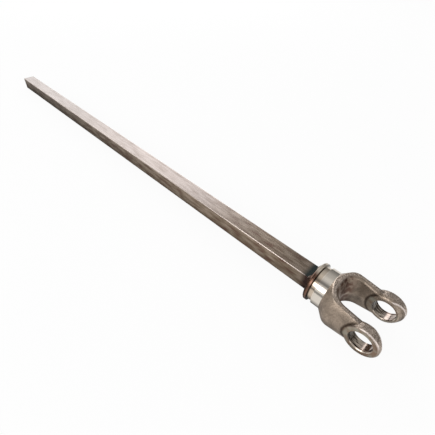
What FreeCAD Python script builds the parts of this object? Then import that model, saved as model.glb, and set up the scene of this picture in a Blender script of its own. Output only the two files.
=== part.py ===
import FreeCAD, Part
import math
import os
import re

import Sketcher

# Power take-off shaft, driven half: a solid square bar welded into a forged yoke.
# Millimetres. The origin is the centre of the cross bore, +X runs along the shaft
# from the bar towards the ears, +Y runs along the cross bore and +Z is up.

Vector = FreeCAD.Vector
doc = FreeCAD.newDocument("power_take_off_shaft")

# Driving sizes. A place along the shaft is its distance back from the cross axis.
DRIVING_SIZES = {
    # Cold-drawn square bar, 1-1/8 in across the flats, 45 in from cross axis to tip
    "bar_side": 28.575,
    "bar_corner_round": 1.2,
    "bar_tip_chamfer": 2.0,
    "shaft_reach": 1143.0,
    # Round spigot turned on the bar's end, and the blind socket that it fills
    "spigot_radius": 11.0,
    "spigot_length": 28.0,
    "spigot_chamfer": 1.0,
    "socket_end_gap": 1.5,
    # Turned hub: groove for the guard's bearing ring between a rear lip and a collar
    "groove_radius": 27.9,
    "groove_floor": 7.3,
    "lip_height": 3.4,
    "lip_width": 5.6,
    "lip_chamfer": 1.6,
    "lip_slope": 1.0,
    "collar_height": 2.6,
    "collar_width": 13.9,
    # Forged shoulder: its skin stands proud of the turned collar and swells to the arms
    "forged_step": 0.8,
    "web_thickness": 14.5,
    "swing_behind_gap": 0.7,
    "swing_under_ear": 0.5,
    "crest_width": 3.74,
    "shoulder_round": 17.0,
    # Arms seen from the side: a straight taper from the base to the ears
    "base_behind_gap": 6.0,
    "base_over_step": 0.3,
    "waist_under_ear": 5.0,
    "base_round": 60.0,
    # Gap between the arms, drafted both ways from the forging's middle plane
    "gap_depth": 53.0,
    "gap_flat": 14.0,
    "forging_draft": 7.0,
    "inner_edge_round": 6.0,
    # Ears: bored for a 32 mm cross cap held by a snap ring at each end
    "bore_radius": 16.0,
    "bore_chamfer": 1.0,
    "cross_length": 76.0,
    "ring_groove_width": 1.6,
    "ring_groove_depth": 0.9,
    "ring_land": 1.9,
    "ear_thickness": 17.0,
    "ear_wall": 8.8,
    "ear_outer_round": 3.0,
    "ear_inner_round": 7.0,
    "spot_face_depth": 1.5,
    "spot_face_margin": 0.6,
    # Fillet weld round the bar, from the hub's rear face to its toe on the flats
    "weld_length": 6.9,
    "weld_root_inset": 1.1,
    "weld_root_flat": 2.6,
    "weld_throat": 7.7,
    "weld_middle_corner": 14.0,
    "weld_toe_height": 0.6,
    "weld_toe_corner": 2.5,
}

# Sizes that follow from the driving ones
FOLLOWING_SIZES = {
    "ear_across": "cross_length + 2 * (ring_groove_width + ring_land)",
    "ear_gap": "ear_across - 2 * ear_thickness",
    "ear_radius": "bore_radius + ear_wall",
    "gap_half_width": "ear_gap / 2 - spot_face_depth",
    "gap_corner_round": "gap_half_width - gap_flat / 2",
    "ear_swing_radius": "ear_across / 2 - swing_under_ear",
    "swing_back": "gap_depth + swing_behind_gap",
    "lip_radius": "groove_radius + lip_height",
    "collar_radius": "groove_radius + collar_height",
    "forged_radius": "collar_radius + forged_step",
    "base_back": "gap_depth + base_behind_gap",
    "base_half_height": "forged_radius + base_over_step",
    "crest_half_width": "gap_half_width + base_half_height * tan(forging_draft) + crest_width",
    "swing_radius": "sqrt(base_half_height ^ 2 + crest_half_width ^ 2)",
    "waist_half_height": "ear_radius - waist_under_ear",
    "shoulder_back": "gap_depth + web_thickness",
    "groove_front": "shoulder_back + collar_width",
    "groove_rear": "groove_front + groove_floor",
    "lip_front": "groove_rear + lip_slope",
    "hub_rear": "lip_front + lip_width",
    "weld_root_half": "lip_radius - lip_chamfer - weld_root_inset",
    "weld_root_corner": "weld_root_half - weld_root_flat",
    "weld_middle_half": "bar_side / 2 + weld_throat",
}


def make_sheet():
    """The spreadsheet that every feature below is bound to."""
    sheet = doc.addObject("Spreadsheet::Sheet", "Sizes")
    cells = {alias: str(value) for alias, value in DRIVING_SIZES.items()}
    cells |= {alias: f"={formula}" for alias, formula in FOLLOWING_SIZES.items()}
    for row, (alias, content) in enumerate(cells.items(), start=1):
        sheet.set(f"A{row}", alias)
        sheet.setAlias(f"B{row}", alias)
        sheet.set(f"B{row}", content)
    doc.recompute()
    return sheet


SHEET = make_sheet()


def bound(formula):
    """Spell a formula's size names as cells of the sheet."""
    names = DRIVING_SIZES | FOLLOWING_SIZES
    return re.sub("[a-z_]+", lambda word: f"Sizes.{word[0]}" if word[0] in names else word[0], formula)


def value_of(formula):
    """A formula's number, worked out from the sheet's cells."""
    return float(SHEET.evalExpression(bound(formula)))


def new_body(label):
    """A named body standing at the origin."""
    body = doc.addObject("PartDesign::Body", label)
    body.Label = label
    return body


def new_sketch(body, name, plane_role):
    """A sketch on one of the body's own origin planes."""
    sketch = body.newObject("Sketcher::SketchObject", name)
    plane = next(item for item in body.Origin.OriginFeatures if item.Role == plane_role)
    sketch.AttachmentSupport = [(plane, "")]
    sketch.MapMode = "FlatFace"
    return sketch


def arc_middle(start, end, radius, side):
    """The point halfway along an arc that bulges to the left (1) or right (-1)."""
    chord = end - start
    half = chord.Length / 2
    rise = radius - math.sqrt(radius * radius - half * half)
    across = Vector(-chord.y, chord.x, 0).normalize()
    return (start + end) / 2 + across * (rise * side)


def draw_outline(sketch, corners, arcs=None):
    """Close an outline through corners given as formulas.

    arcs maps a corner's index to (radius formula, side) where the edge that
    leaves the corner is an arc instead of a straight line.
    """
    arcs = arcs or {}
    points = [Vector(value_of(x), value_of(y), 0) for x, y in corners]
    starts = []
    ends = []
    for index, start in enumerate(points):
        end = points[(index + 1) % len(points)]
        if index in arcs:
            radius, side = arcs[index]
            middle = arc_middle(start, end, value_of(radius), side)
            edge = sketch.addGeometry(Part.Arc(start, middle, end))
            forward = sketch.getPoint(edge, 1).distanceToPoint(start) < 1e-6
            rule = sketch.addConstraint(Sketcher.Constraint("Radius", edge, value_of(radius)))
            sketch.setExpression(f"Constraints[{rule}]", bound(radius))
        else:
            edge = sketch.addGeometry(Part.LineSegment(start, end))
            forward = True
        starts.append((edge, 1 if forward else 2))
        ends.append((edge, 2 if forward else 1))
    for index, formulas in enumerate(corners):
        sketch.addConstraint(Sketcher.Constraint("Coincident", *ends[index - 1], *starts[index]))
        for kind, formula in zip(("DistanceX", "DistanceY"), formulas):
            place = Sketcher.Constraint(kind, -1, 1, *starts[index], value_of(formula))
            rule = sketch.addConstraint(place)
            sketch.setExpression(f"Constraints[{rule}]", bound(formula))


def draw_rounded_square(sketch, half, corner):
    """A square about the sketch's origin, half its side and corner radius as formulas."""
    flat = f"({half} - {corner})"
    signs = [(1, -1), (1, 1), (-1, 1), (-1, -1)]
    corners = []
    for right, up in signs:
        along_side = (f"{right} * ({half})", f"{up} * {flat}")
        along_top = (f"{right} * {flat}", f"{up} * ({half})")
        corners += [along_side, along_top] if right * up > 0 else [along_top, along_side]
    draw_outline(sketch, corners, {index: (corner, -1) for index in (0, 2, 4, 6)})


def draw_circle(sketch, radius):
    """A circle about the sketch's origin."""
    circle = sketch.addGeometry(Part.Circle(Vector(0, 0, 0), Vector(0, 0, 1), value_of(radius)))
    sketch.addConstraint(Sketcher.Constraint("Coincident", circle, 3, -1, 1))
    rule = sketch.addConstraint(Sketcher.Constraint("Radius", circle, value_of(radius)))
    sketch.setExpression(f"Constraints[{rule}]", bound(radius))


def add_turned(body, kind, name, sketch, axis):
    """A full turn of a sketch about one of its axes, added or cut away."""
    feature = body.newObject(f"PartDesign::{kind}", name)
    feature.Profile = sketch
    feature.ReferenceAxis = (sketch, [axis])
    feature.Angle = 360
    sketch.Visibility = False
    doc.recompute()
    return feature


def add_pad(body, name, sketch, length, backwards=False):
    """A sketch pushed out by a length given as a formula."""
    pad = body.newObject("PartDesign::Pad", name)
    pad.Profile = sketch
    pad.setExpression("Length", bound(length))
    pad.Reversed = backwards
    sketch.Visibility = False
    doc.recompute()
    return pad


def add_through_cut(body, name, sketch, draft=None):
    """A sketch cut right through both ways, with an optional draft."""
    before = body.Shape.Volume
    cut = body.newObject("PartDesign::Pocket", name)
    cut.Profile = sketch
    cut.SideType = "Symmetric"
    cut.setExpression("Length", bound("4 * swing_radius"))
    if draft:
        cut.setExpression("TaperAngle", bound(draft))
        cut.setExpression("TaperAngle2", bound(draft))
    sketch.Visibility = False
    doc.recompute()
    assert body.Shape.Volume < before - 1, f"{name} cut nothing"
    return cut


def edges_where(feature, wanted):
    """Names of a feature's edges whose own shape passes a test."""
    return [f"Edge{number}" for number, edge in enumerate(feature.Shape.Edges, start=1) if wanted(edge)]


def soften(body, kind, name, base, edge_names, size):
    """A fillet or chamfer on the named edges."""
    feature = body.newObject(f"PartDesign::{kind}", name)
    feature.Base = (base, edge_names)
    feature.setExpression("Radius" if kind == "Fillet" else "Size", bound(size))
    doc.recompute()
    return feature


def build_yoke():
    """Forged and machined yoke: hub, base and two bored ears, all one piece."""
    body = new_body("yoke")

    # The turned hub and the round envelope that the arms are forged inside
    profile = new_sketch(body, "yoke_profile", "XY_Plane")
    socket_end = "-1 * (hub_rear - spigot_length - socket_end_gap)"
    corners = [
        (socket_end, "0"),
        (socket_end, "spigot_radius"),
        ("-1 * hub_rear", "spigot_radius"),
        ("-1 * hub_rear", "lip_radius - lip_chamfer"),
        ("-1 * hub_rear + lip_chamfer", "lip_radius"),
        ("-1 * lip_front", "lip_radius"),
        ("-1 * groove_rear", "groove_radius"),
        ("-1 * groove_front", "groove_radius"),
        ("-1 * groove_front", "collar_radius"),
        ("-1 * shoulder_back", "collar_radius"),
        ("-1 * shoulder_back", "forged_radius"),
        ("-1 * swing_back", "swing_radius"),
        ("0", "ear_swing_radius"),
        ("0", "0"),
    ]
    draw_outline(profile, corners)
    blank = add_turned(body, "Revolution", "turned_blank", profile, "H_Axis")
    widest = value_of("swing_radius")
    shoulder_rim = edges_where(
        blank, lambda edge: isinstance(edge.Curve, Part.Circle) and abs(edge.Curve.Radius - widest) < 0.01
    )
    soften(body, "Fillet", "round_shoulder", blank, shoulder_rim, "shoulder_round")

    # Side outline: above and below it the forging stops, narrower towards the ears
    side = new_sketch(body, "side_outline", "XZ_Plane")
    fall = "(base_half_height - waist_half_height) / base_back"
    bend = f"(base_round * tan(atan({fall}) / 2))"
    for sign in (1, -1):
        outside = f"{sign} * 2 * swing_radius"
        draw_outline(side, [
            ("-1 * shoulder_back", f"{sign} * base_half_height"),
            (f"-1 * base_back - {bend}", f"{sign} * base_half_height"),
            (
                f"-1 * base_back + {bend} * cos(atan({fall}))",
                f"{sign} * (base_half_height - {bend} * sin(atan({fall})))",
            ),
            ("0", f"{sign} * waist_half_height"),
            ("0", outside),
            ("-1 * shoulder_back", outside),
        ], {1: ("base_round", sign)})
    add_through_cut(body, "side_cuts", side)

    # Gap between the arms, a U with rounded corners that widens away from the middle
    gap = new_sketch(body, "gap_outline", "XY_Plane")
    gap_corner = "-1 * (gap_depth - gap_corner_round)"
    corner_half = "(gap_half_width - gap_corner_round)"
    draw_outline(gap, [
        ("ear_radius", "-1 * gap_half_width"),
        ("ear_radius", "gap_half_width"),
        (gap_corner, "gap_half_width"),
        ("-1 * gap_depth", corner_half),
        ("-1 * gap_depth", f"-1 * {corner_half}"),
        (gap_corner, "-1 * gap_half_width"),
    ], {2: ("gap_corner_round", -1), 4: ("gap_corner_round", -1)})
    arms = add_through_cut(body, "gap_cut", gap, "forging_draft")
    round_gap(body, arms)
    add_ears(body)
    machine_ears(body)
    return body


def round_gap(body, arms):
    """Round the two long edges, top and bottom, where the gap leaves the forging."""
    depth = value_of("gap_depth")

    def at_gap_end(edge):
        """Whether an edge crosses the top or bottom of the web, at the gap's end."""
        box = edge.BoundBox
        across = box.YMin < -1 and box.YMax > 1 and box.XLength < 0.01 and box.ZLength < 0.01
        return across and -depth - 8 < box.XMin < -depth - 1

    web_edges = edges_where(arms, at_gap_end)
    assert len(web_edges) == 2, web_edges
    return soften(body, "Fillet", "gap_edges", arms, web_edges, "inner_edge_round")


def add_ears(body):
    """A ring round each end of the cross bore, its rim rounded inside and outside."""
    ring = new_sketch(body, "ear_profile", "XY_Plane")
    for sign in (1, -1):
        inner = f"{sign} * ear_gap / 2"
        outer = f"{sign} * ear_across / 2"
        draw_outline(ring, [
            ("0", inner),
            ("ear_radius - ear_inner_round", inner),
            ("ear_radius", f"{inner} + {sign} * ear_inner_round"),
            ("ear_radius", f"{outer} - {sign} * ear_outer_round"),
            ("ear_radius - ear_outer_round", outer),
            ("0", outer),
        ], {1: ("ear_inner_round", -sign), 3: ("ear_outer_round", -sign)})
    return add_turned(body, "Revolution", "ear_rings", ring, "V_Axis")


def machine_ears(body):
    """Spot faces, cross bore with chamfered rims, and the snap ring grooves."""
    faces = new_sketch(body, "spot_face_profile", "XY_Plane")
    spot_radius = "(ear_radius + spot_face_margin)"
    draw_outline(faces, [
        ("0", "-1 * ear_gap / 2"),
        (spot_radius, "-1 * ear_gap / 2"),
        (spot_radius, "ear_gap / 2"),
        ("0", "ear_gap / 2"),
    ])
    for sign in (1, -1):
        draw_outline(faces, [
            ("0", f"{sign} * ear_across / 2"),
            (spot_radius, f"{sign} * ear_across / 2"),
            (spot_radius, f"{sign} * 2 * swing_radius"),
            ("0", f"{sign} * 2 * swing_radius"),
        ])
    add_turned(body, "Groove", "spot_faces", faces, "V_Axis")

    bore = new_sketch(body, "bore_profile", "XY_Plane")
    for sign in (1, -1):
        groove_inner = f"{sign} * cross_length / 2"
        groove_outer = f"{groove_inner} + {sign} * ring_groove_width"
        draw_outline(bore, [
            ("0", f"{sign} * ear_gap / 2"),
            ("bore_radius + bore_chamfer", f"{sign} * ear_gap / 2"),
            ("bore_radius", f"{sign} * (ear_gap / 2 + bore_chamfer)"),
            ("bore_radius", groove_inner),
            ("bore_radius + ring_groove_depth", groove_inner),
            ("bore_radius + ring_groove_depth", groove_outer),
            ("bore_radius", groove_outer),
            ("bore_radius", f"{sign} * (ear_across / 2 - bore_chamfer)"),
            ("bore_radius + bore_chamfer", f"{sign} * ear_across / 2"),
            ("0", f"{sign} * ear_across / 2"),
        ])
    add_turned(body, "Groove", "cross_bore", bore, "V_Axis")


def build_bar():
    """Solid square bar with a turned spigot at the hub and a chamfered free tip."""
    body = new_body("square_shaft")
    body.setExpression("Placement.Base.x", "-Sizes.hub_rear")
    section = new_sketch(body, "bar_section", "YZ_Plane")
    half = "bar_side / 2"
    draw_outline(section, [
        (f"-1 * {half}", f"-1 * {half}"),
        (half, f"-1 * {half}"),
        (half, half),
        (f"-1 * {half}", half),
    ])
    bar = add_pad(body, "bar", section, "shaft_reach - hub_rear", backwards=True)
    tip = -value_of("shaft_reach - hub_rear")
    tip_edges = edges_where(bar, lambda edge: edge.BoundBox.XMax < tip + 0.01)
    tapered = soften(body, "Chamfer", "tip_chamfer", bar, tip_edges, "bar_tip_chamfer")
    long_edges = edges_where(tapered, lambda edge: edge.BoundBox.XLength > -tip / 2)
    soften(body, "Fillet", "bar_corners", tapered, long_edges, "bar_corner_round")

    circle = new_sketch(body, "spigot_section", "YZ_Plane")
    draw_circle(circle, "spigot_radius")
    spigot = add_pad(body, "spigot", circle, "spigot_length")
    end = value_of("spigot_length")
    end_edges = edges_where(spigot, lambda edge: edge.BoundBox.XMin > end - 0.01)
    soften(body, "Chamfer", "spigot_chamfer", spigot, end_edges, "spigot_chamfer")
    return body


def build_weld():
    """Fillet weld: round at the hub, closing on to the bar's square at its toe."""
    body = new_body("weld_bead")
    body.setExpression("Placement.Base.x", "-Sizes.hub_rear")
    stages = [
        ("0", "weld_root_half", "weld_root_corner"),
        ("-0.4 * weld_length", "weld_middle_half", "weld_middle_corner"),
        ("-1 * weld_length", "(bar_side / 2 + weld_toe_height)", "weld_toe_corner"),
    ]
    sections = []
    for number, (place, half, corner) in enumerate(stages, start=1):
        section = new_sketch(body, f"bead_section_{number}", "YZ_Plane")
        section.setExpression(".AttachmentOffset.Base.z", bound(place))
        draw_rounded_square(section, half, corner)
        section.Visibility = False
        sections.append(section)
    doc.recompute()
    bead = body.newObject("PartDesign::AdditiveLoft", "bead")
    bead.Profile = sections[0]
    bead.Sections = sections[1:]
    doc.recompute()

    hole = new_sketch(body, "bar_in_bead", "YZ_Plane")
    draw_rounded_square(hole, "bar_side / 2", "bar_corner_round")
    add_through_cut(body, "bar_way", hole)
    return body


def write_parts(bodies):
    """Check every feature and shape, then write one file for each piece."""
    doc.recompute()
    for item in doc.Objects:
        assert not {"Invalid", "Error"} & set(item.State), f"{item.Name} failed: {item.State}"
    for body in bodies:
        shape = body.Shape
        assert not shape.isNull() and shape.isValid() and len(shape.Solids) == 1, body.Label
        print(body.Label, round(shape.Volume), "mm3", shape.optimalBoundingBox())
    os.makedirs("parts", exist_ok=True)
    for body in bodies:
        body.Shape.exportStep(f"parts/{body.Label}.step")


write_parts([build_yoke(), build_bar(), build_weld()])
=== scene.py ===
import math

import bmesh
import bpy
from mathutils import Matrix, Vector, kdtree, noise


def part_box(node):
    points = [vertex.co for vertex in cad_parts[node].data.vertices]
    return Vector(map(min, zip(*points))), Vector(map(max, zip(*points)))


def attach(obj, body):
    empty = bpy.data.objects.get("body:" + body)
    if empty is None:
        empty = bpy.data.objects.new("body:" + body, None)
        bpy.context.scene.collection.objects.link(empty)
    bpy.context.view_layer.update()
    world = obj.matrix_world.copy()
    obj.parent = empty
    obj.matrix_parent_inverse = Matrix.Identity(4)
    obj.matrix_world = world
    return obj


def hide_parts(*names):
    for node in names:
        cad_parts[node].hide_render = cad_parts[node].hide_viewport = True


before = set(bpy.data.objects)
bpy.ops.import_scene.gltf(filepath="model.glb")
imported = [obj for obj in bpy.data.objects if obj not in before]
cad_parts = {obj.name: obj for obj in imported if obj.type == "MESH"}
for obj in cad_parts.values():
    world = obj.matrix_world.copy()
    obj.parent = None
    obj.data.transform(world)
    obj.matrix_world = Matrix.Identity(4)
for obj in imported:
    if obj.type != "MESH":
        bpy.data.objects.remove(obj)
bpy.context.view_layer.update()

# Yoke: one closed-die forging in carbon steel, tumbled clean after its flash was
# trimmed off. Its hub is turned, its ears are spot-faced and bored, and the heat
# of welding has tinted the hub's rear end.

# Where its surfaces meet, in metres. COLLAR_FRONT lies along the shaft, EAR_MIDDLE along the
# bores' axis, EAR_HALF on either side of that, and the others outwards from the bores' axis.
COLLAR_FRONT = -0.0672
EAR_MIDDLE = 0.033
EAR_HALF = 0.0085
SNAP_GROOVE = 0.0169
RIM = 0.0248
SPOT_FACE = 0.0254
EAR_REACH = 0.0262

# Edge lengths of the refined mesh, over the arms and beside their outer edges. The edges
# are sharp at first, and smoothing within ever smaller reaches rounds them.
ARM_MESH = 0.003
CREST_MESH = 0.0011
CREST_BAND = 0.005
CREST_REACHES = (0.0026, 0.0022, 0.0018, 0.0014)
SHARP_ANGLE = 0.6
SHADED_SHARP_ANGLE = 0.5


def link(mesh, name):
    """Turn a finished bmesh into an object of the scene."""
    data = bpy.data.meshes.new(name)
    mesh.to_mesh(data)
    mesh.free()
    made = bpy.data.objects.new(name, data)
    bpy.context.collection.objects.link(made)
    return made


def middle(edge):
    """The middle of an edge."""
    return (edge.verts[0].co + edge.verts[1].co) / 2


def on_arms(spot):
    """Whether a place lies on the base or the arms, clear of the hub and of the ears' machined rings."""
    return spot.x > COLLAR_FRONT and math.hypot(spot.x, spot.z) > EAR_REACH


def refine(mesh, longest, chosen):
    """Halve the chosen edges that are longer than a length, once, into triangles."""
    edges = [edge for edge in mesh.edges if edge.calc_length() > longest and chosen(middle(edge))]
    bmesh.ops.subdivide_edges(mesh, edges=edges, cuts=1, use_single_edge=True)
    bmesh.ops.triangulate(mesh, faces=[face for face in mesh.faces if len(face.verts) > 3])


yoke_mesh = bmesh.new()
yoke_mesh.from_mesh(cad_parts["yoke"].data)
bmesh.ops.remove_doubles(yoke_mesh, verts=yoke_mesh.verts, dist=1e-6)

# The arms' outer edges, which a die leaves rounded: found first, as the forging's
# only sharp outward edges, then softened over about 2 mm by smoothing
for halving in range(3):
    refine(yoke_mesh, ARM_MESH, on_arms)
sharp = [
    middle(edge)
    for edge in yoke_mesh.edges
    if edge.is_convex and edge.calc_face_angle(0.0) > SHARP_ANGLE and on_arms(middle(edge))
]
crest_edges = kdtree.KDTree(len(sharp))
for number, spot in enumerate(sharp):
    crest_edges.insert(spot, number)
crest_edges.balance()


def near_crest(reach):
    """A test for places within a reach of the arms' outer edges."""
    return lambda spot: on_arms(spot) and crest_edges.find(spot)[2] < reach


for halving in range(2):
    refine(yoke_mesh, CREST_MESH, near_crest(CREST_BAND))
for reach in CREST_REACHES * 3:
    beside_crest = near_crest(reach)
    bmesh.ops.smooth_vert(
        yoke_mesh,
        verts=[vert for vert in yoke_mesh.verts if beside_crest(vert.co)],
        factor=0.5,
        use_axis_x=True,
        use_axis_y=True,
        use_axis_z=True,
    )


def fade(value, start, end):
    """How far a value has gone from start (0) to end (1), eased at both."""
    share = min(max((value - start) / (end - start), 0), 1)
    return share * share * (3 - 2 * share)


# The ears' rims lean in towards the gap, where the die let the forging go. Each leans from
# a ridge that starts above and below the bore, flush with the arm's inner wall, and moves
# outwards on its way to the tip. The lean grows by RIM_DRAFT from the ridge on, up to RIM_LEAN.
RIDGE_START = -0.0045
INNER_WALL = 0.022
RIDGE_RISE = 0.45
RIM_DRAFT = 0.5
RIM_LEAN = 0.0026
LEAN_START = 0.0180
RIM_CUTS = (-0.0052, -0.002, -0.0006, 0, 0.0006, 0.002)
RIM_BAND = (0.0235, 0.0265)


def over_ridge(spot):
    """How far a place lies on the gap's side of its ear's ridge, along the bore."""
    return INNER_WALL + RIDGE_RISE * (spot.x - RIDGE_START) - abs(spot.y)


def rim_faces(mesh, ear):
    """The faces of one ear's rim, with their edges and vertices."""
    spots = {face: face.calc_center_median() for face in mesh.faces}
    faces = [
        face
        for face, spot in spots.items()
        if spot.y * ear > INNER_WALL - 0.0005 and RIM_BAND[0] < math.hypot(spot.x, spot.z) < RIM_BAND[1]
    ]
    edges = {edge for face in faces for edge in face.edges}
    return faces + list(edges | {vert for face in faces for vert in face.verts})


for ear in (1, -1):
    for offset in RIM_CUTS:
        bmesh.ops.bisect_plane(
            yoke_mesh,
            geom=rim_faces(yoke_mesh, ear),
            dist=1e-6,
            plane_co=(RIDGE_START, ear * (INNER_WALL + offset), 0),
            plane_no=(RIDGE_RISE, -ear, 0),
        )
for vert in yoke_mesh.verts:
    reach = math.hypot(vert.co.x, vert.co.z)
    over = over_ridge(vert.co)
    if vert.co.x > RIDGE_START and over > 0 and LEAN_START + 0.0005 < reach < EAR_REACH + 1e-5:
        lean_in = min(RIM_DRAFT * over, RIM_LEAN) * fade(reach, LEAN_START, RIM)
        vert.co.x *= 1 - lean_in / reach
        vert.co.z *= 1 - lean_in / reach

for face in yoke_mesh.faces:
    face.smooth = True
for edge in yoke_mesh.edges:
    edge.smooth = edge.calc_face_angle(0.0) < SHADED_SHARP_ANGLE

# Tumbling rubs the outward edges bright and leaves scale in the inward corners, which are
# also darkened as painted shade, so each vertex keeps how strongly the surface bends there,
# per millimetre. It is the mean curvature: a quarter of what its edges turn, over a third of
# its faces' area.
kept_bend = yoke_mesh.verts.layers.float.new("bend")
bend = {}
for vert in yoke_mesh.verts:
    turn = 0.0
    for edge in vert.link_edges:
        angle = edge.calc_face_angle(0.0) * edge.calc_length()
        turn += angle if edge.is_convex else -angle
    area = sum(face.calc_area() for face in vert.link_faces)
    bend[vert] = 0.75 * turn / area / 1000
for blending in range(3):
    bend = {
        vert: (bend[vert] + sum(bend[edge.other_vert(vert)] for edge in vert.link_edges))
        / (1 + len(vert.link_edges))
        for vert in yoke_mesh.verts
    }
for vert in yoke_mesh.verts:
    vert[kept_bend] = bend[vert]
yoke = link(yoke_mesh, "forged_yoke")
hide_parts("yoke")
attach(yoke, "root")


def linear(colour):
    """An sRGB hex colour as the linear red, green, blue and alpha of a shader."""
    channels = [int(colour[place : place + 2], 16) / 255 for place in (1, 3, 5)]
    return [c / 12.92 if c <= 0.04045 else ((c + 0.055) / 1.055) ** 2.4 for c in channels] + [1.0]


def add(tree, kind, inputs=None, stops=(), **settings):
    """Add a shader node with its settings and links, and a ramp's stops as (position, colour).

    An input takes a value, an output socket, or a node, which stands for its first live output.
    """
    made = tree.nodes.new(kind)
    for setting, value in settings.items():
        setattr(made, setting, value)
    for name, value in (inputs or {}).items():
        if isinstance(value, bpy.types.Node):
            value = next(socket for socket in value.outputs if socket.enabled)
        if isinstance(value, bpy.types.NodeSocket):
            tree.links.new(value, made.inputs[name])
        else:
            made.inputs[name].default_value = value
    if stops:
        ramp = made.color_ramp.elements
        for stop, (position, colour) in ((ramp[0], stops[0]), (ramp[1], stops[-1])):
            stop.position = position
            stop.color = colour
        for position, colour in stops[1:-1]:
            ramp.new(position).color = colour
    return made


def new_material(name):
    """A material with a bare Principled surface: the material, its nodes and that shader."""
    material = bpy.data.materials.new(name)
    material.use_nodes = True
    return material, material.node_tree, material.node_tree.nodes["Principled BSDF"]


def dress(piece, material):
    """Give a piece one material all over."""
    piece.data.materials.clear()
    piece.data.materials.append(material)


# Forged and tumbled steel: a warm grey-brown skin, satin rather than bright, with
# soft mottling a few millimetres across. The machined faces are smoother.
forged, tree, surface = new_material("forged_steel_tumbled")
place = add(tree, "ShaderNodeTexCoord")
apart = add(tree, "ShaderNodeSeparateXYZ", {0: place.outputs["Object"]})
facing = add(tree, "ShaderNodeSeparateXYZ", {0: place.outputs["Normal"]})
on_hub = add(
    tree,
    "ShaderNodeMapRange",
    {0: apart.outputs["X"], "From Min": COLLAR_FRONT, "From Max": COLLAR_FRONT - 0.0004},
)
off_axis = add(
    tree, "ShaderNodeVectorMath", {0: place.outputs["Object"], 1: (1, 0, 1)}, operation="MULTIPLY"
)
bore_distance = add(tree, "ShaderNodeVectorMath", {0: off_axis}, operation="LENGTH")
in_bore = add(
    tree,
    "ShaderNodeMapRange",
    {0: bore_distance, "From Min": SNAP_GROOVE + 0.00035, "From Max": SNAP_GROOVE + 0.00015},
)

# Spot faces: the rings at both ends of each bore, cut square to it
side = add(tree, "ShaderNodeMath", {0: apart.outputs["Y"]}, operation="ABSOLUTE")
from_ear_middle = add(tree, "ShaderNodeMath", {0: side, 1: EAR_MIDDLE}, operation="SUBTRACT")
off_ear_middle = add(tree, "ShaderNodeMath", {0: from_ear_middle}, operation="ABSOLUTE")
on_face_plane = add(
    tree,
    "ShaderNodeMapRange",
    {0: off_ear_middle, "From Min": EAR_HALF - 0.00008, "From Max": EAR_HALF - 0.00003},
)
inside_face = add(
    tree, "ShaderNodeMapRange", {0: bore_distance, "From Min": SPOT_FACE + 0.0002, "From Max": SPOT_FACE}
)
spot_faced = add(tree, "ShaderNodeMath", {0: on_face_plane, 1: inside_face}, operation="MULTIPLY")

# Mottling 9 mm across, and scale speckle drawn at 1.3 mm so that it shows
mottle = add(
    tree, "ShaderNodeTexNoise", {"Vector": place.outputs["Object"], "Scale": 1 / 0.009, "Detail": 5}
)
speckle = add(
    tree, "ShaderNodeTexNoise", {"Vector": place.outputs["Object"], "Scale": 1 / 0.0013, "Detail": 3}
)
skin = add(
    tree, "ShaderNodeValToRGB", {0: mottle}, stops=((0.3, linear("#8f8173")), (0.7, linear("#ab9a8a")))
)

# Trimmed flash: where the die halves met, along the arms' flat edges and round the ears,
# the skin is torn off, and what shows is darkened with painted shade where arm and ear meet.
# Those faces run along the bores' axis.
ARM_MEETS_EAR = -0.008
lean = add(tree, "ShaderNodeMath", {0: facing.outputs["Y"]}, operation="ABSOLUTE")
on_trim = add(tree, "ShaderNodeMapRange", {0: lean, "From Min": 0.3, "From Max": 0.1})
torn = add(
    tree, "ShaderNodeValToRGB", {0: speckle}, stops=((0.38, linear("#857466")), (0.6, linear("#d5c6b9")))
)
from_joint = add(tree, "ShaderNodeMath", {0: apart.outputs["X"], 1: -ARM_MEETS_EAR}, operation="ADD")
off_joint = add(tree, "ShaderNodeMath", {0: from_joint}, operation="ABSOLUTE")
joint_shade = add(
    tree, "ShaderNodeMapRange", {0: off_joint, "From Min": 0.007, "From Max": 0.014, "To Min": 0.62}
)
joint_shaded_torn = add(tree, "ShaderNodeVectorMath", {0: torn, "Scale": joint_shade}, operation="SCALE")
trimmed = add(tree, "ShaderNodeMix", {"Factor": on_trim, "A": skin, "B": joint_shaded_torn}, data_type="RGBA")

# Outward edges are rubbed bright, by the bend that each vertex keeps
kept = add(tree, "ShaderNodeAttribute", attribute_name="bend")
rubbed = add(
    tree, "ShaderNodeMapRange", {0: kept.outputs["Fac"], "From Min": 0.05, "From Max": 0.2, "To Max": 0.7}
)
off_ring = add(
    tree, "ShaderNodeMapRange", {0: bore_distance, "From Min": EAR_REACH, "From Max": EAR_REACH + 0.0048}
)
on_ring = add(
    tree,
    "ShaderNodeMapRange",
    {0: bore_distance, "From Min": SPOT_FACE + 0.0002, "From Max": SPOT_FACE - 0.0002},
)
rub_place = add(tree, "ShaderNodeMath", {0: off_ring, 1: on_ring}, operation="MAXIMUM")
by_tip = add(tree, "ShaderNodeMapRange", {0: apart.outputs["X"], "From Min": -0.008, "From Max": -0.004})
rub_reach = add(tree, "ShaderNodeMath", {0: rub_place, 1: by_tip}, operation="MAXIMUM")
rub_amount = add(tree, "ShaderNodeMath", {0: rubbed, 1: rub_reach}, operation="MULTIPLY")
rubbed_skin = add(
    tree, "ShaderNodeMix", {"Factor": rub_amount, "A": trimmed, "B": linear("#b9aa9d")}, data_type="RGBA"
)
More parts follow.
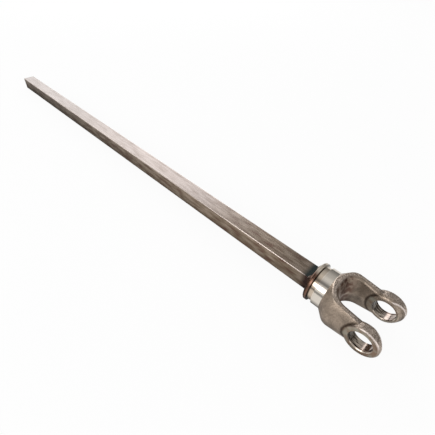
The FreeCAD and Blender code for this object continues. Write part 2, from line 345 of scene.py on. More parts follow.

# Worn bright and painted near white as a highlight: the ridge on each ear's rim, and the
# upper part of the rim's outer corner
RIM_START = 0.0220
ridge_height = add(
    tree,
    "ShaderNodeMath",
    {0: apart.outputs["X"], 1: RIDGE_RISE, 2: INNER_WALL - RIDGE_RISE * RIDGE_START},
    operation="MULTIPLY_ADD",
)
from_ridge = add(tree, "ShaderNodeMath", {0: ridge_height, 1: side}, operation="SUBTRACT")
off_ridge = add(tree, "ShaderNodeMath", {0: from_ridge}, operation="ABSOLUTE")
at_ridge = add(tree, "ShaderNodeMapRange", {0: off_ridge, "From Min": 0.0013, "From Max": 0.0004})
from_corner = add(tree, "ShaderNodeMath", {0: off_ear_middle, 1: EAR_HALF - 0.001}, operation="SUBTRACT")
off_corner = add(tree, "ShaderNodeMath", {0: from_corner}, operation="ABSOLUTE")
at_corner = add(tree, "ShaderNodeMapRange", {0: off_corner, "From Min": 0.0010, "From Max": 0.0003})
outer_part = add(tree, "ShaderNodeMapRange", {0: from_ear_middle, "From Min": 0.0, "From Max": 0.002})
upper_part = add(tree, "ShaderNodeMapRange", {0: apart.outputs["Z"], "From Min": 0.008, "From Max": 0.014})
outer_corner = add(tree, "ShaderNodeMath", {0: at_corner, 1: outer_part}, operation="MULTIPLY")
upper_corner = add(tree, "ShaderNodeMath", {0: outer_corner, 1: upper_part}, operation="MULTIPLY")
worn_and_highlight_line = add(tree, "ShaderNodeMath", {0: at_ridge, 1: upper_corner}, operation="MAXIMUM")
on_rim = add(
    tree,
    "ShaderNodeMapRange",
    {0: bore_distance, "From Min": RIM_START - 0.0002, "From Max": RIM_START + 0.0002},
)
off_rim = add(
    tree,
    "ShaderNodeMapRange",
    {0: bore_distance, "From Min": EAR_REACH + 0.001, "From Max": EAR_REACH + 0.0002},
)
rim_only = add(tree, "ShaderNodeMath", {0: on_rim, 1: off_rim}, operation="MULTIPLY")
tip_rim = add(tree, "ShaderNodeMath", {0: rim_only, 1: by_tip}, operation="MULTIPLY")
worn_and_highlight_amount = add(tree, "ShaderNodeMath", {0: worn_and_highlight_line, 1: tip_rim}, operation="MULTIPLY")
worn_and_highlighted_skin = add(
    tree,
    "ShaderNodeMix",
    {"Factor": worn_and_highlight_amount, "A": rubbed_skin, "B": linear("#f0e2da")},
    data_type="RGBA",
)

# Inward corners are darkened: partly their dark scale, partly painted shade
crease_scale_and_shade = add(
    tree,
    "ShaderNodeMapRange",
    {0: kept.outputs["Fac"], "From Min": -0.04, "From Max": -0.2, "To Max": 0.85},
)
off_edge = add(
    tree,
    "ShaderNodeMapRange",
    {0: bore_distance, "From Min": EAR_REACH + 0.0004, "From Max": EAR_REACH + 0.0034},
)
crease_shade_amount = add(tree, "ShaderNodeMath", {0: crease_scale_and_shade, 1: off_edge}, operation="MULTIPLY")
crease_shaded_skin = add(
    tree,
    "ShaderNodeMix",
    {"Factor": crease_shade_amount, "A": worn_and_highlighted_skin, "B": linear("#33291f")},
    data_type="RGBA",
)

# Painted shadow under the ledge of the step round each spot face, on the hub's side and
# fading towards the top and bottom
off_step = add(tree, "ShaderNodeMath", {0: bore_distance, 1: SPOT_FACE}, operation="SUBTRACT")
off_step_size = add(tree, "ShaderNodeMath", {0: off_step}, operation="ABSOLUTE")
at_step = add(
    tree, "ShaderNodeMapRange", {0: off_step_size, "From Min": 0.0030, "From Max": 0.0, "To Max": 0.85}
)
hubwards = add(tree, "ShaderNodeMapRange", {0: apart.outputs["X"], "From Min": -0.004, "From Max": -0.015})
off_trim = add(tree, "ShaderNodeMath", {0: 1.0, 1: on_trim}, operation="SUBTRACT")
height = add(tree, "ShaderNodeMath", {0: apart.outputs["Z"]}, operation="ABSOLUTE")
not_high = add(
    tree, "ShaderNodeMapRange", {0: height, "From Min": 0.0225, "From Max": 0.0170, "To Min": 0.2}
)
step_side = add(tree, "ShaderNodeMath", {0: hubwards, 1: not_high}, operation="MULTIPLY")
step_place = add(tree, "ShaderNodeMath", {0: step_side, 1: off_trim}, operation="MULTIPLY")
step_shade = add(tree, "ShaderNodeMath", {0: at_step, 1: step_place}, operation="MULTIPLY")
step_shaded_skin = add(
    tree, "ShaderNodeMix", {"Factor": step_shade, "A": crease_shaded_skin, "B": linear("#3a2b21")}, data_type="RGBA"
)

# The web's wall between the arms keeps dark scale in patches
webwards = add(tree, "ShaderNodeMapRange", {0: facing.outputs["X"], "From Min": 0.35, "From Max": 0.75})
behind = add(tree, "ShaderNodeMapRange", {0: apart.outputs["X"], "From Min": -0.040, "From Max": -0.047})
on_web = add(tree, "ShaderNodeMath", {0: webwards, 1: behind}, operation="MULTIPLY")
patchy = add(tree, "ShaderNodeMapRange", {0: mottle, "From Min": 0.6, "From Max": 0.45, "To Min": 0.1})
scaled_web = add(tree, "ShaderNodeMath", {0: on_web, 1: patchy}, operation="MULTIPLY")
web_skin = add(
    tree, "ShaderNodeMix", {"Factor": scaled_web, "A": step_shaded_skin, "B": linear("#6c5448")}, data_type="RGBA"
)

# Speckle over the whole skin
speckle_amount = add(
    tree,
    "ShaderNodeMapRange",
    {0: speckle, "From Min": 0.36, "From Max": 0.62, "To Min": 0.72, "To Max": 1.1},
)

# Painted shade: the arms' walls in the gap are darkened below the shaft's axis
inwards = add(tree, "ShaderNodeMath", {0: apart.outputs["Y"], 1: facing.outputs["Y"]}, operation="MULTIPLY")
in_gap = add(tree, "ShaderNodeMapRange", {0: inwards, "From Min": -0.010, "From Max": -0.018})
low = add(
    tree,
    "ShaderNodeMapRange",
    {0: apart.outputs["Z"], "From Min": -0.001, "From Max": -0.008, "To Max": 0.4},
)
gap_wall_shade = add(tree, "ShaderNodeMath", {0: in_gap, 1: low}, operation="MULTIPLY")
gap_wall_level = add(tree, "ShaderNodeMath", {0: 1.0, 1: gap_wall_shade}, operation="SUBTRACT")
skin_level = add(tree, "ShaderNodeMath", {0: speckle_amount, 1: gap_wall_level}, operation="MULTIPLY")
speckled_skin = add(tree, "ShaderNodeVectorMath", {0: web_skin, "Scale": skin_level}, operation="SCALE")

# Faced steel, browned in patches, with a stain up towards the ear's tip
STAIN_WAY = (0.77, 0, 0.64)
faced = add(
    tree, "ShaderNodeValToRGB", {0: mottle}, stops=((0.4, linear("#846e5d")), (0.58, linear("#969082")))
)
tip_way = add(
    tree, "ShaderNodeVectorMath", {0: place.outputs["Object"], 1: STAIN_WAY}, operation="DOT_PRODUCT"
)
tip_stain = add(
    tree, "ShaderNodeMapRange", {0: tip_way, "From Min": 0.0170, "From Max": 0.0205, "To Max": 0.6}
)
stained_face = add(
    tree, "ShaderNodeMix", {"Factor": tip_stain, "A": faced, "B": linear("#6f5546")}, data_type="RGBA"
)
spot_colour = add(
    tree, "ShaderNodeMix", {"Factor": spot_faced, "A": speckled_skin, "B": stained_face}, data_type="RGBA"
)

# Painted shade: the spot faces that look into the gap are darkened
gap_face_shade = add(
    tree, "ShaderNodeMapRange", {0: from_ear_middle, "From Min": 0.0, "From Max": 0.002, "To Min": 0.7}
)
gap_shade = add(tree, "ShaderNodeMix", {"Factor": spot_faced, "A": 1.0, "B": gap_face_shade})

# Painted shade: between the ridge and the gap the rim is darkened
below_ridge_shade = add(
    tree,
    "ShaderNodeMapRange",
    {0: from_ridge, "From Min": 0.0005, "From Max": 0.0015, "To Min": 1.0, "To Max": 0.68},
)
rim_shade = add(tree, "ShaderNodeMix", {"Factor": tip_rim, "A": 1.0, "B": below_ridge_shade})
ear_shade = add(tree, "ShaderNodeMath", {0: gap_shade, 1: rim_shade}, operation="MINIMUM")
inner_face = add(tree, "ShaderNodeVectorMath", {0: spot_colour, "Scale": ear_shade}, operation="SCALE")
# The painted shadow in the step's corner darkens the faced steel as well
step_shaded_face = add(
    tree, "ShaderNodeMix", {"Factor": step_shade, "A": inner_face, "B": linear("#3a2d24")}, data_type="RGBA"
)

# Bored steel, browned in store, with boring marks drawn 1.2 mm apart so that they show
round_bore = add(
    tree, "ShaderNodeVectorMath", {0: place.outputs["Object"], 1: (0.12, 1, 0.12)}, operation="MULTIPLY"
)
bore_marks = add(tree, "ShaderNodeTexNoise", {"Vector": round_bore, "Scale": 1 / 0.0012, "Detail": 3})
bored = add(
    tree, "ShaderNodeValToRGB", {0: bore_marks}, stops=((0.42, linear("#3c3025")), (0.6, linear("#c9bcad")))
)
on_mouth = add(
    tree,
    "ShaderNodeMapRange",
    {0: off_ear_middle, "From Min": EAR_HALF - 0.0011, "From Max": EAR_HALF - 0.0009},
)

# Painted shade darkens the bore on the hub's side, and a painted highlight lightens it down towards the tip
BORE_SHADE_WAY = (-0.94, 0, -0.34)
BORE_HIGHLIGHT_WAY = (0.64, 0, -0.77)
bore_shade_way = add(
    tree, "ShaderNodeVectorMath", {0: place.outputs["Object"], 1: BORE_SHADE_WAY}, operation="DOT_PRODUCT"
)
bore_shade = add(
    tree,
    "ShaderNodeMapRange",
    {0: bore_shade_way, "From Min": 0.0130, "From Max": 0.0156, "To Min": 1.0, "To Max": 0.25},
)
bore_highlight_way = add(
    tree, "ShaderNodeVectorMath", {0: place.outputs["Object"], 1: BORE_HIGHLIGHT_WAY}, operation="DOT_PRODUCT"
)
bore_highlight = add(
    tree, "ShaderNodeMapRange", {0: bore_highlight_way, "From Min": 0.0125, "From Max": 0.0150, "To Max": 0.7}
)
highlighted_bore = add(
    tree, "ShaderNodeMix", {"Factor": bore_highlight, "A": bored, "B": linear("#b5a59d")}, data_type="RGBA"
)
bored_colour = add(
    tree,
    "ShaderNodeMix",
    {"Factor": on_mouth, "A": highlighted_bore, "B": linear("#b8ab9e")},
    data_type="RGBA",
)
bore_colour = add(tree, "ShaderNodeVectorMath", {0: bored_colour, "Scale": bore_shade}, operation="SCALE")
ear_colour = add(
    tree, "ShaderNodeMix", {"Factor": in_bore, "A": step_shaded_face, "B": bore_colour}, data_type="RGBA"
)

# Turned steel with temper colours that run from bare through straw and brown towards
# the weld. They go deepest on the side where the weld ended, 15 degrees above -Y, and
# the far side has kept its bare grey. On both sides a near-white line where the groove
# steps up to the collar is a painted highlight, and a dark band on the lip's front wall,
# in the groove's corner, is painted shade.
TINT_START = -0.0790
TINT_END = -0.0960
HOT_WAY = (0, -0.966, 0.259)
HOT_TONES = (
    (0, "#d8d0c5"),
    (0.11, "#d2c7ba"),
    (0.125, "#f0e8de"),
    (0.14, "#f0e8de"),
    (0.15, "#cbbcab"),
    (0.5, "#c0af9c"),
    (0.58, "#3f2f24"),
    (0.625, "#3f2f24"),
    (0.65, "#7a5d50"),
    (0.74, "#74584a"),
    (0.82, "#463227"),
    (1, "#3f2d24"),
)
COOL_TONES = (
    (0, "#cec6bb"),
    (0.11, "#cdc2b4"),
    (0.125, "#f0e8de"),
    (0.14, "#f0e8de"),
    (0.15, "#cdc0b0"),
    (0.55, "#c8baa9"),
    (0.58, "#4f4636"),
    (0.625, "#4f4636"),
    (0.65, "#cbbfb0"),
    (1, "#bcb0a0"),
)
tint = add(
    tree, "ShaderNodeMapRange", {0: apart.outputs["X"], "From Min": TINT_START, "From Max": TINT_END}
)
hot_side, cool_side = (
    add(tree, "ShaderNodeValToRGB", {0: tint}, stops=[(position, linear(tone)) for position, tone in tones])
    for tones in (HOT_TONES, COOL_TONES)
)
off_shaft = add(
    tree, "ShaderNodeVectorMath", {0: place.outputs["Object"], 1: (0, 1, 1)}, operation="MULTIPLY"
)
outwards = add(tree, "ShaderNodeVectorMath", {0: off_shaft}, operation="NORMALIZE")
hot = add(tree, "ShaderNodeVectorMath", {0: outwards, 1: HOT_WAY}, operation="DOT_PRODUCT")
heated = add(tree, "ShaderNodeMapRange", {0: hot, "From Min": 0.42, "From Max": 0.66})
temper = add(tree, "ShaderNodeMix", {"Factor": heated, "A": cool_side, "B": hot_side}, data_type="RGBA")
# On the lip's rear chamfer, a lighter purple band on the partly heated side: a temper colour, and partly a
# painted highlight
at_rear = add(tree, "ShaderNodeMapRange", {0: tint, "From Min": 0.84, "From Max": 0.88})
part_heated = add(tree, "ShaderNodeMapRange", {0: hot, "From Min": 0.88, "From Max": 0.80})
purple = add(tree, "ShaderNodeMath", {0: at_rear, 1: part_heated}, operation="MULTIPLY")
purple_and_highlight = add(tree, "ShaderNodeMath", {0: purple, 1: heated}, operation="MULTIPLY")
rear_colour = add(
    tree, "ShaderNodeMix", {"Factor": purple_and_highlight, "A": temper, "B": linear("#96786b")}, data_type="RGBA"
)
colour = add(tree, "ShaderNodeMix", {"Factor": on_hub, "A": ear_colour, "B": rear_colour}, data_type="RGBA")
tree.links.new(colour.outputs[2], surface.inputs["Base Color"])

# The worn lines, which are also painted highlights, are made less metallic so that the
# lamps light them up like a glint. Machined steel is the smoothest.
worn_and_highlight_metallic = add(tree, "ShaderNodeMapRange", {0: worn_and_highlight_amount, "To Min": 1.0, "To Max": 0.2})
tree.links.new(worn_and_highlight_metallic.outputs[0], surface.inputs["Metallic"])
skin_gloss = add(
    tree, "ShaderNodeMapRange", {0: mottle, "From Min": 0.3, "From Max": 0.7, "To Min": 0.52, "To Max": 0.4}
)
rubbed_gloss = add(tree, "ShaderNodeMix", {"Factor": rub_amount, "A": skin_gloss, "B": 0.2})
worn_and_highlight_gloss = add(tree, "ShaderNodeMix", {"Factor": worn_and_highlight_amount, "A": rubbed_gloss, "B": 0.3})
bore_gloss = add(tree, "ShaderNodeMix", {"Factor": in_bore, "A": worn_and_highlight_gloss, "B": 0.2})
scaled = add(
    tree,
    "ShaderNodeMapRange",
    {0: tint, "From Min": 0.58, "From Max": 0.62, "To Min": 0.12, "To Max": 0.32},
)
gloss = add(tree, "ShaderNodeMix", {"Factor": on_hub, "A": bore_gloss, "B": scaled})
tree.links.new(gloss.outputs[0], surface.inputs["Roughness"])

# Tool marks 0.4 mm apart on the hub, where the lathe tool fed along the shaft
along = add(
    tree, "ShaderNodeVectorMath", {0: place.outputs["Object"], 1: (1, 0.02, 0.02)}, operation="MULTIPLY"
)
tool_marks = add(tree, "ShaderNodeTexNoise", {"Vector": along, "Scale": 1 / 0.0004, "Detail": 2})
marks_bump = add(tree, "ShaderNodeBump", {"Height": tool_marks, "Distance": 0.000006, "Strength": on_hub})
machined = add(tree, "ShaderNodeMath", {0: on_hub, 1: in_bore}, operation="MAXIMUM")
skin_only = add(tree, "ShaderNodeMath", {0: 1.0, 1: machined}, operation="SUBTRACT")
skin_bump = add(
    tree,
    "ShaderNodeBump",
    {"Height": speckle, "Distance": 0.00012, "Strength": skin_only, "Normal": marks_bump},
)
tree.links.new(skin_bump.outputs[0], surface.inputs["Normal"])
dress(yoke, forged)

# Square shaft: cold-drawn solid bar, sawn off and chamfered at its free tip. It has
# browned in store, its corners are rubbed bright, and the weld has burnt it black
# for a centimetre.

CORNER = 0.0133

# Cold-drawn carbon steel under a thin brown film: satin along the die lines, semi-bright on top
drawn, tree, surface = new_material("cold_drawn_steel_browned")
place = add(tree, "ShaderNodeTexCoord")
apart = add(tree, "ShaderNodeSeparateXYZ", {0: place.outputs["Object"]})
facing = add(tree, "ShaderNodeSeparateXYZ", {0: place.outputs["Normal"]})

# Die lines run the bar's length, so the pattern is stretched sixty times along it.
# They are drawn 2 mm apart so that they show.
lengthwise = add(
    tree, "ShaderNodeVectorMath", {0: place.outputs["Object"], 1: (0.016, 1, 1)}, operation="MULTIPLY"
)
die_lines = add(tree, "ShaderNodeTexNoise", {"Vector": lengthwise, "Scale": 1 / 0.002, "Detail": 4})
drawn_out = add(
    tree, "ShaderNodeVectorMath", {0: place.outputs["Object"], 1: (0.22, 1, 1)}, operation="MULTIPLY"
)
blotches = add(tree, "ShaderNodeTexNoise", {"Vector": drawn_out, "Scale": 1 / 0.006, "Detail": 6})
film = add(
    tree,
    "ShaderNodeValToRGB",
    {0: blotches},
    stops=((0.36, linear("#7c6153")), (0.5, linear("#93826f")), (0.66, linear("#b3a08f"))),
)

# The face that lay uppermost has been wiped, so its film is thinner and paler, but for the
# stretch near the hub. The others darken towards the tip, partly in their film and partly
# as painted shade.
wiped = add(
    tree, "ShaderNodeValToRGB", {0: blotches}, stops=((0.32, linear("#847a75")), (0.68, linear("#988f8b")))
)
upward = add(tree, "ShaderNodeMapRange", {0: facing.outputs["Z"], "From Min": 0.6, "From Max": 0.9})
stored_and_shaded = add(
    tree,
    "ShaderNodeMapRange",
    {0: apart.outputs["X"], "From Min": -0.22, "From Max": -0.9, "To Min": 1.0, "To Max": 0.48},
)
side_film_and_shade = add(tree, "ShaderNodeVectorMath", {0: film, "Scale": stored_and_shaded}, operation="SCALE")
thinned = add(
    tree,
    "ShaderNodeMapRange",
    {0: apart.outputs["X"], "From Min": -0.5, "From Max": -0.8, "To Min": 1.0, "To Max": 0.8},
)
wiped_film = add(tree, "ShaderNodeVectorMath", {0: wiped, "Scale": thinned}, operation="SCALE")
near_hub = add(
    tree,
    "ShaderNodeMapRange",
    {0: apart.outputs["X"], "From Min": -0.34, "From Max": -0.18, "To Max": 0.75},
)
top_film = add(tree, "ShaderNodeMix", {"Factor": near_hub, "A": wiped_film, "B": film}, data_type="RGBA")
browned = add(tree, "ShaderNodeMix", {"Factor": upward, "A": side_film_and_shade, "B": top_film}, data_type="RGBA")

# The die lines stand out lighter and darker in the film
lined = add(
    tree,
    "ShaderNodeMapRange",
    {0: die_lines, "From Min": 0.3, "From Max": 0.7, "To Min": 0.86, "To Max": 1.12},
)
lined_film = add(tree, "ShaderNodeVectorMath", {0: browned, "Scale": lined}, operation="SCALE")

# Corners rubbed bright: both distances from the bar's middle planes pass CORNER there
across = add(tree, "ShaderNodeVectorMath", {0: place.outputs["Object"]}, operation="ABSOLUTE")
across_apart = add(tree, "ShaderNodeSeparateXYZ", {0: across})
lesser = add(
    tree,
    "ShaderNodeMath",
    {0: across_apart.outputs["Y"], 1: across_apart.outputs["Z"]},
    operation="MINIMUM",
)
on_corner = add(tree, "ShaderNodeMapRange", {0: lesser, "From Min": CORNER - 0.0002, "From Max": CORNER})
cornered = add(
    tree, "ShaderNodeMix", {"Factor": on_corner, "A": lined_film, "B": linear("#d9cbc2")}, data_type="RGBA"
)

# The weld's heat has darkened the film over the last 7 cm before its toe, and the last
# centimetre is burnt, with a ragged edge
warmed = add(
    tree,
    "ShaderNodeMapRange",
    {0: apart.outputs["X"], "From Min": -0.17, "From Max": -0.11, "To Min": 1.0, "To Max": 0.72},
)
warmed_film = add(tree, "ShaderNodeVectorMath", {0: cornered, "Scale": warmed}, operation="SCALE")
burnt = add(tree, "ShaderNodeMapRange", {0: apart.outputs["X"], "From Min": -0.113, "From Max": -0.104})
ragged = add(tree, "ShaderNodeMath", {0: blotches, 1: 1.2, 2: -0.6}, operation="MULTIPLY_ADD")
ragged_burnt = add(tree, "ShaderNodeMath", {0: burnt, 1: ragged}, operation="ADD")
burnt_amount = add(tree, "ShaderNodeMapRange", {0: ragged_burnt, "From Min": 0.15, "From Max": 0.95})
burnt_tone = add(
    tree,
    "ShaderNodeMix",
    {"Factor": upward, "A": linear("#3b2a26"), "B": linear("#3b4140")},
    data_type="RGBA",
)
colour = add(
    tree, "ShaderNodeMix", {"Factor": burnt_amount, "A": warmed_film, "B": burnt_tone}, data_type="RGBA"
)
tree.links.new(colour.outputs[2], surface.inputs["Base Color"])
surface.inputs["Metallic"].default_value = 1.0
film_gloss = add(tree, "ShaderNodeMix", {"Factor": upward, "A": 0.46, "B": 0.25})
bar_gloss = add(tree, "ShaderNodeMix", {"Factor": on_corner, "A": film_gloss, "B": 0.22})
tree.links.new(bar_gloss.outputs[0], surface.inputs["Roughness"])
lines_bump = add(tree, "ShaderNodeBump", {"Height": die_lines, "Distance": 0.00002})
tree.links.new(lines_bump.outputs[0], surface.inputs["Normal"])
dress(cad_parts["square_shaft"], drawn)

# Weld bead: one run of weld metal laid round the bar against the hub's rear face,
# with the ripples that each drop leaves and a toe that wanders on the bar's flats.

HUB_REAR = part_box("yoke")[0].x
BEAD_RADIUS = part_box("weld_bead")[1].y
TOE_AT_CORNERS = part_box("weld_bead")[0].x
TOE_ON_FLATS = -0.0990
TOE_WANDER = 0.0003
TOE_REACH = 0.0146
BAR_REACH = 0.0143
BELLY = 0.0009
RIPPLES = 54
RIPPLE_HEIGHT = 0.00028
RIPPLE_BOW = 0.35
FALL_POWER = 0.8

# How square a section is: near round at the hub, a softened square at the toe, and the
# bar's own. The softened square's corners lie nearly CORNER_EXCESS further out than its flats.
HUB_SQUARENESS = 2.2
TOE_SQUARENESS = 9
BAR_SQUARENESS = 24
CORNER_EXCESS = 0.32

STEPS_ROUND = 432
STEPS_ALONG = 12


def rounded_reach(angle, half, squareness):
    """How far a rounded square of half side `half` reaches at an angle."""
    spread = abs(math.cos(angle)) ** squareness + abs(math.sin(angle)) ** squareness
    return half / spread ** (1 / squareness)


def bead_point(angle, run):
    """A place on the bead, `run` going from the hub (0) to the toe on the bar (1)."""
    wander = noise.noise(Vector((3 * math.cos(angle), 3 * math.sin(angle), 4.0)))
    to_corner = min((rounded_reach(angle, 1.0, TOE_SQUARENESS) - 1) / CORNER_EXCESS, 1)
    toe = TOE_ON_FLATS + (TOE_AT_CORNERS - TOE_ON_FLATS) * to_corner + TOE_WANDER * (1 + wander)
    root = rounded_reach(angle, BEAD_RADIUS, HUB_SQUARENESS)
    end = rounded_reach(angle, TOE_REACH, TOE_SQUARENESS)
    swell = math.sin(math.pi * run)
    ripple = math.cos(RIPPLES * (angle + RIPPLE_BOW * (run - 0.5) ** 2)) * swell**0.5
    reach = root + (end - root) * run**FALL_POWER + BELLY * swell + RIPPLE_HEIGHT * ripple
    return Vector((HUB_REAR + (toe - HUB_REAR) * run, reach * math.cos(angle), reach * math.sin(angle)))


bead_mesh = bmesh.new()
ring = bmesh.ops.create_circle(bead_mesh, segments=STEPS_ROUND, radius=BEAD_RADIUS)["verts"]
bmesh.ops.rotate(bead_mesh, verts=ring, matrix=Matrix.Rotation(math.pi / 2, 3, "Y"))
edges = list(bead_mesh.edges)
angles = {vert: math.atan2(vert.co.z, vert.co.y) for vert in ring}
for vert in ring:
    vert.co = bead_point(angles[vert], 0)
for step in range(1, STEPS_ALONG + 3):
    made = bmesh.ops.extrude_edge_only(bead_mesh, edges=edges)["geom"]
    edges = [item for item in made if isinstance(item, bmesh.types.BMEdge) and len(item.link_faces) == 1]
    for vert in {vert for edge in edges for vert in edge.verts}:
        angle = math.atan2(vert.co.z, vert.co.y)
        if step <= STEPS_ALONG:
            vert.co = bead_point(angle, step / STEPS_ALONG)
        else:
            reach = rounded_reach(angle, BAR_REACH, BAR_SQUARENESS)
            back = vert.co.x if step == STEPS_ALONG + 1 else HUB_REAR
            vert.co = Vector((back, reach * math.cos(angle), reach * math.sin(angle)))
open_rings = [edge for edge in bead_mesh.edges if len(edge.link_faces) == 1]
bmesh.ops.bridge_loops(bead_mesh, edges=open_rings)
bmesh.ops.recalc_face_normals(bead_mesh, faces=bead_mesh.faces)
for face in bead_mesh.faces:
    face.smooth = True
weld_run = link(bead_mesh, "weld_run")
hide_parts("weld_bead")
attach(weld_run, "root")

# Weld metal as laid: ripples under coppery scale, with a bright line at the toe
weld_metal, tree, surface = new_material("weld_metal_scaled")
place = add(tree, "ShaderNodeTexCoord")
scale_patches = add(
    tree, "ShaderNodeTexNoise", {"Vector": place.outputs["Object"], "Scale": 1 / 0.004, "Detail": 5}
)
scale_colour = add(
    tree,
    "ShaderNodeValToRGB",
    {0: scale_patches},
    stops=((0.35, linear("#3c2620")), (0.65, linear("#87614f"))),
)
across = add(tree, "ShaderNodeVectorMath", {0: place.outputs["Object"]}, operation="ABSOLUTE")
across_apart = add(tree, "ShaderNodeSeparateXYZ", {0: across})
greater = add(
    tree,
    "ShaderNodeMath",
    {0: across_apart.outputs["Y"], 1: across_apart.outputs["Z"]},
    operation="MAXIMUM",
)
at_toe = add(
    tree, "ShaderNodeMapRange", {0: greater, "From Min": TOE_REACH + 0.002, "From Max": TOE_REACH + 0.0012}
)
toed = add(
    tree, "ShaderNodeMix", {"Factor": at_toe, "A": scale_colour, "B": linear("#b9aaa0")}, data_type="RGBA"
)
tree.links.new(toed.outputs[2], surface.inputs["Base Color"])
surface.inputs["Metallic"].default_value = 1.0
surface.inputs["Roughness"].default_value = 0.36
scale_bump = add(tree, "ShaderNodeBump", {"Height": scale_patches, "Distance": 0.0002})
tree.links.new(scale_bump.outputs[0], surface.inputs["Normal"])
dress(weld_run, weld_metal)

# Floor: a pale sheet that the shaft lies on. The hub's lip and the bar's tip touch it,
# so it slopes under one degree to the shaft.

FLOOR_HALF = 12
LIP_CONTACT = Vector((-0.0937, 0, -0.0313))
TIP_CONTACT = Vector((-1.141, 0, -0.01429))
slope = math.atan2(LIP_CONTACT.z - TIP_CONTACT.z, LIP_CONTACT.x - TIP_CONTACT.x)
floor_mesh = bmesh.new()
bmesh.ops.create_grid(floor_mesh, x_segments=1, y_segments=1, size=FLOOR_HALF)
bmesh.ops.rotate(floor_mesh, verts=floor_mesh.verts, matrix=Matrix.Rotation(-slope, 3, "Y"))
bmesh.ops.translate(floor_mesh, verts=floor_mesh.verts, vec=LIP_CONTACT)
floor = link(floor_mesh, "floor")

# The camera sees the sheet as white, but for a faint shadow. The metal mirrors it as white
# too, but for the shade beside the shaft and the arms and the dark further out on the near side.
ARM_SIDE = 0.045
paper, tree, surface = new_material("white_paper")
surface.inputs["Base Color"].default_value = linear("#f2f2f2")
surface.inputs["Roughness"].default_value = 1.0
surface.inputs["Specular IOR Level"].default_value = 0.0
rays = add(tree, "ShaderNodeLightPath")
mirrored = add(
    tree,
    "ShaderNodeMath",
    {0: rays.outputs["Is Glossy Ray"], 1: rays.outputs["Is Transmission Ray"]},
    operation="MAXIMUM",
)
seen = add(tree, "ShaderNodeMath", {0: rays.outputs["Is Camera Ray"], 1: 0.94}, operation="MULTIPLY")
share = add(tree, "ShaderNodeMath", {0: mirrored, 1: 0.9, 2: seen}, operation="MULTIPLY_ADD")
place = add(tree, "ShaderNodeTexCoord")
apart = add(tree, "ShaderNodeSeparateXYZ", {0: place.outputs["Object"]})
beside = add(tree, "ShaderNodeMath", {0: apart.outputs["Y"]}, operation="ABSOLUTE")
shaded = add(tree, "ShaderNodeMapRange", {0: beside, "From Min": 0.024, "From Max": 0.05, "To Min": 0.15})
beyond = add(
    tree,
    "ShaderNodeMapRange",
    {0: apart.outputs["Y"], "From Min": -0.26, "From Max": -0.40, "To Min": 1.0, "To Max": 0.3},
)
under_gap = add(tree, "ShaderNodeMapRange", {0: apart.outputs["X"], "From Min": -0.06, "From Max": -0.03})
open_sheet = add(tree, "ShaderNodeMath", {0: shaded, 1: under_gap}, operation="MAXIMUM")
from_arm = add(tree, "ShaderNodeMath", {0: beside, 1: ARM_SIDE}, operation="SUBTRACT")
off_arm = add(tree, "ShaderNodeMath", {0: from_arm}, operation="ABSOLUTE")
beside_arm = add(
    tree, "ShaderNodeMapRange", {0: off_arm, "From Min": 0.003, "From Max": 0.016, "To Min": 0.4}
)
past_hub = add(tree, "ShaderNodeMapRange", {0: apart.outputs["X"], "From Min": -0.05, "From Max": -0.07})
arm_shade = add(tree, "ShaderNodeMath", {0: beside_arm, 1: past_hub}, operation="MAXIMUM")
near_sheet = add(tree, "ShaderNodeMath", {0: open_sheet, 1: arm_shade}, operation="MULTIPLY")
sheet_level = add(tree, "ShaderNodeMath", {0: near_sheet, 1: beyond}, operation="MULTIPLY")
level = add(tree, "ShaderNodeMix", {"Factor": rays.outputs["Is Camera Ray"], "A": sheet_level, "B": 1.0})
white = add(tree, "ShaderNodeEmission", {"Color": (1, 1, 1, 1), "Strength": level})
mixed = add(tree, "ShaderNodeMixShader", {0: share, 1: surface, 2: white})
tree.links.new(mixed.outputs[0], tree.nodes["Material Output"].inputs["Surface"])
dress(floor, paper)

# Studio light: a panel like a window beside the camera, a large one beyond the bar's tip,
# a low one beyond the ears, and a grey room.


def add_panel(name, spot, target, width, height, radiance):
    """A soft rectangular light of a given brightness, facing a target."""
    lamp = bpy.data.lights.new(name, "AREA")
    lamp.shape = "RECTANGLE"
    lamp.size = width
    lamp.size_y = height
    lamp.energy = radiance * math.pi * width * height
    panel = bpy.data.objects.new(name, lamp)
    bpy.context.collection.objects.link(panel)
    panel.location = spot
    panel.rotation_euler = (Vector(target) - Vector(spot)).to_track_quat("-Z", "Y").to_euler()
    panel.visible_camera = False


add_panel(
    "side_window", spot=(-0.55, -1.36, 0.80), target=(-0.07, 0, 0), width=1.2, height=0.62, radiance=3.2
)
add_panel(
    "end_window", spot=(-2.3, 1.35, 1.2), target=(-0.3, 0, 0), width=2.6, height=1.45, radiance=2.2
)
add_panel(
    "low_window", spot=(1.25, -0.45, 0.22), target=(0, 0, 0), width=1.6, height=0.36, radiance=1.3
)

# The room as the metal mirrors it: its grey over half a turn, from the near horizon past
# overhead to the far one. It is darker beyond the ears.
ROOM_LEVELS = (
    (0.01, 0.3),
    (0.045, 0.9),
    (0.2, 0.9),
    (0.27, 0.66),
    (0.32, 0.22),
    (0.36, 0.25),
    (0.44, 0.68),
    (0.5, 0.82),
    (0.56, 0.8),
    (0.62, 0.66),
    (0.73, 0.57),
    (0.84, 0.38),
    (0.95, 0.26),
    (1.0, 0.2),
)

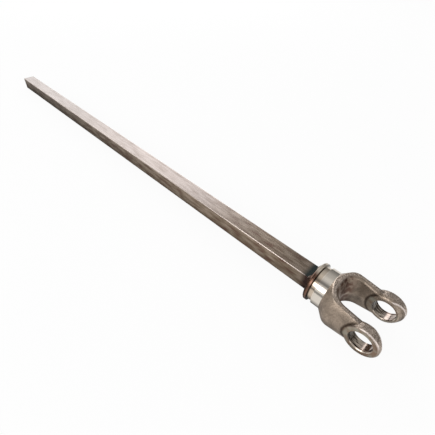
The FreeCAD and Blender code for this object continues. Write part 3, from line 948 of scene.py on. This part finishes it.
world = bpy.data.worlds.new("room")
bpy.context.scene.world = world
world.use_nodes = True
tree = world.node_tree
toward = add(tree, "ShaderNodeTexCoord")
apart = add(tree, "ShaderNodeSeparateXYZ", {0: toward.outputs["Generated"]})
nearer = add(tree, "ShaderNodeMath", {0: apart.outputs["Y"], 1: -1.0}, operation="MULTIPLY")
arc = add(tree, "ShaderNodeMath", {0: apart.outputs["Z"], 1: nearer}, operation="ARCTAN2")
half_turn = add(tree, "ShaderNodeMath", {0: arc, 1: math.pi}, operation="DIVIDE")
room = add(
    tree,
    "ShaderNodeValToRGB",
    {0: half_turn},
    stops=[(turn, (level, level, level, 1)) for turn, level in ROOM_LEVELS],
)
beyond_ears = add(
    tree,
    "ShaderNodeMapRange",
    {0: apart.outputs["X"], "From Min": 0.2, "From Max": 0.8, "To Min": 1.0, "To Max": 0.65},
)
background = tree.nodes["Background"]
tree.links.new(room.outputs[0], background.inputs["Color"])
tree.links.new(beyond_ears.outputs[0], background.inputs["Strength"])
rays = add(tree, "ShaderNodeLightPath")
backdrop = add(tree, "ShaderNodeBackground", {"Color": (1, 1, 1, 1), "Strength": 1.0})
either = add(tree, "ShaderNodeMixShader", {0: rays.outputs["Is Camera Ray"], 1: background, 2: backdrop})
tree.links.new(either.outputs[0], tree.nodes["World Output"].inputs["Surface"])

# Camera: it stands over the ears and looks along the bar, at the photograph's angle. Turned
# and tipped from looking straight down, it is then rolled about its own line of sight.
CAMERA_TURN = math.radians(44.886)
CAMERA_TIP = math.radians(47.695)
CAMERA_ROLL = math.radians(1.465)
CAMERA_SPOT = (0.01773, -0.32175, 0.40076)

lens = bpy.data.cameras.new("camera")
lens.sensor_width = 36
lens.sensor_fit = "HORIZONTAL"
lens.lens = 27.683
lens.clip_start = 0.01
camera = bpy.data.objects.new("camera", lens)
bpy.context.collection.objects.link(camera)
camera.matrix_world = (
    Matrix.Translation(CAMERA_SPOT)
    @ Matrix.Rotation(CAMERA_TURN, 4, "Z")
    @ Matrix.Rotation(CAMERA_TIP, 4, "X")
    @ Matrix.Rotation(CAMERA_ROLL, 4, "Z")
)
bpy.context.scene.camera = camera
bpy.context.scene.view_settings.view_transform = "Standard"
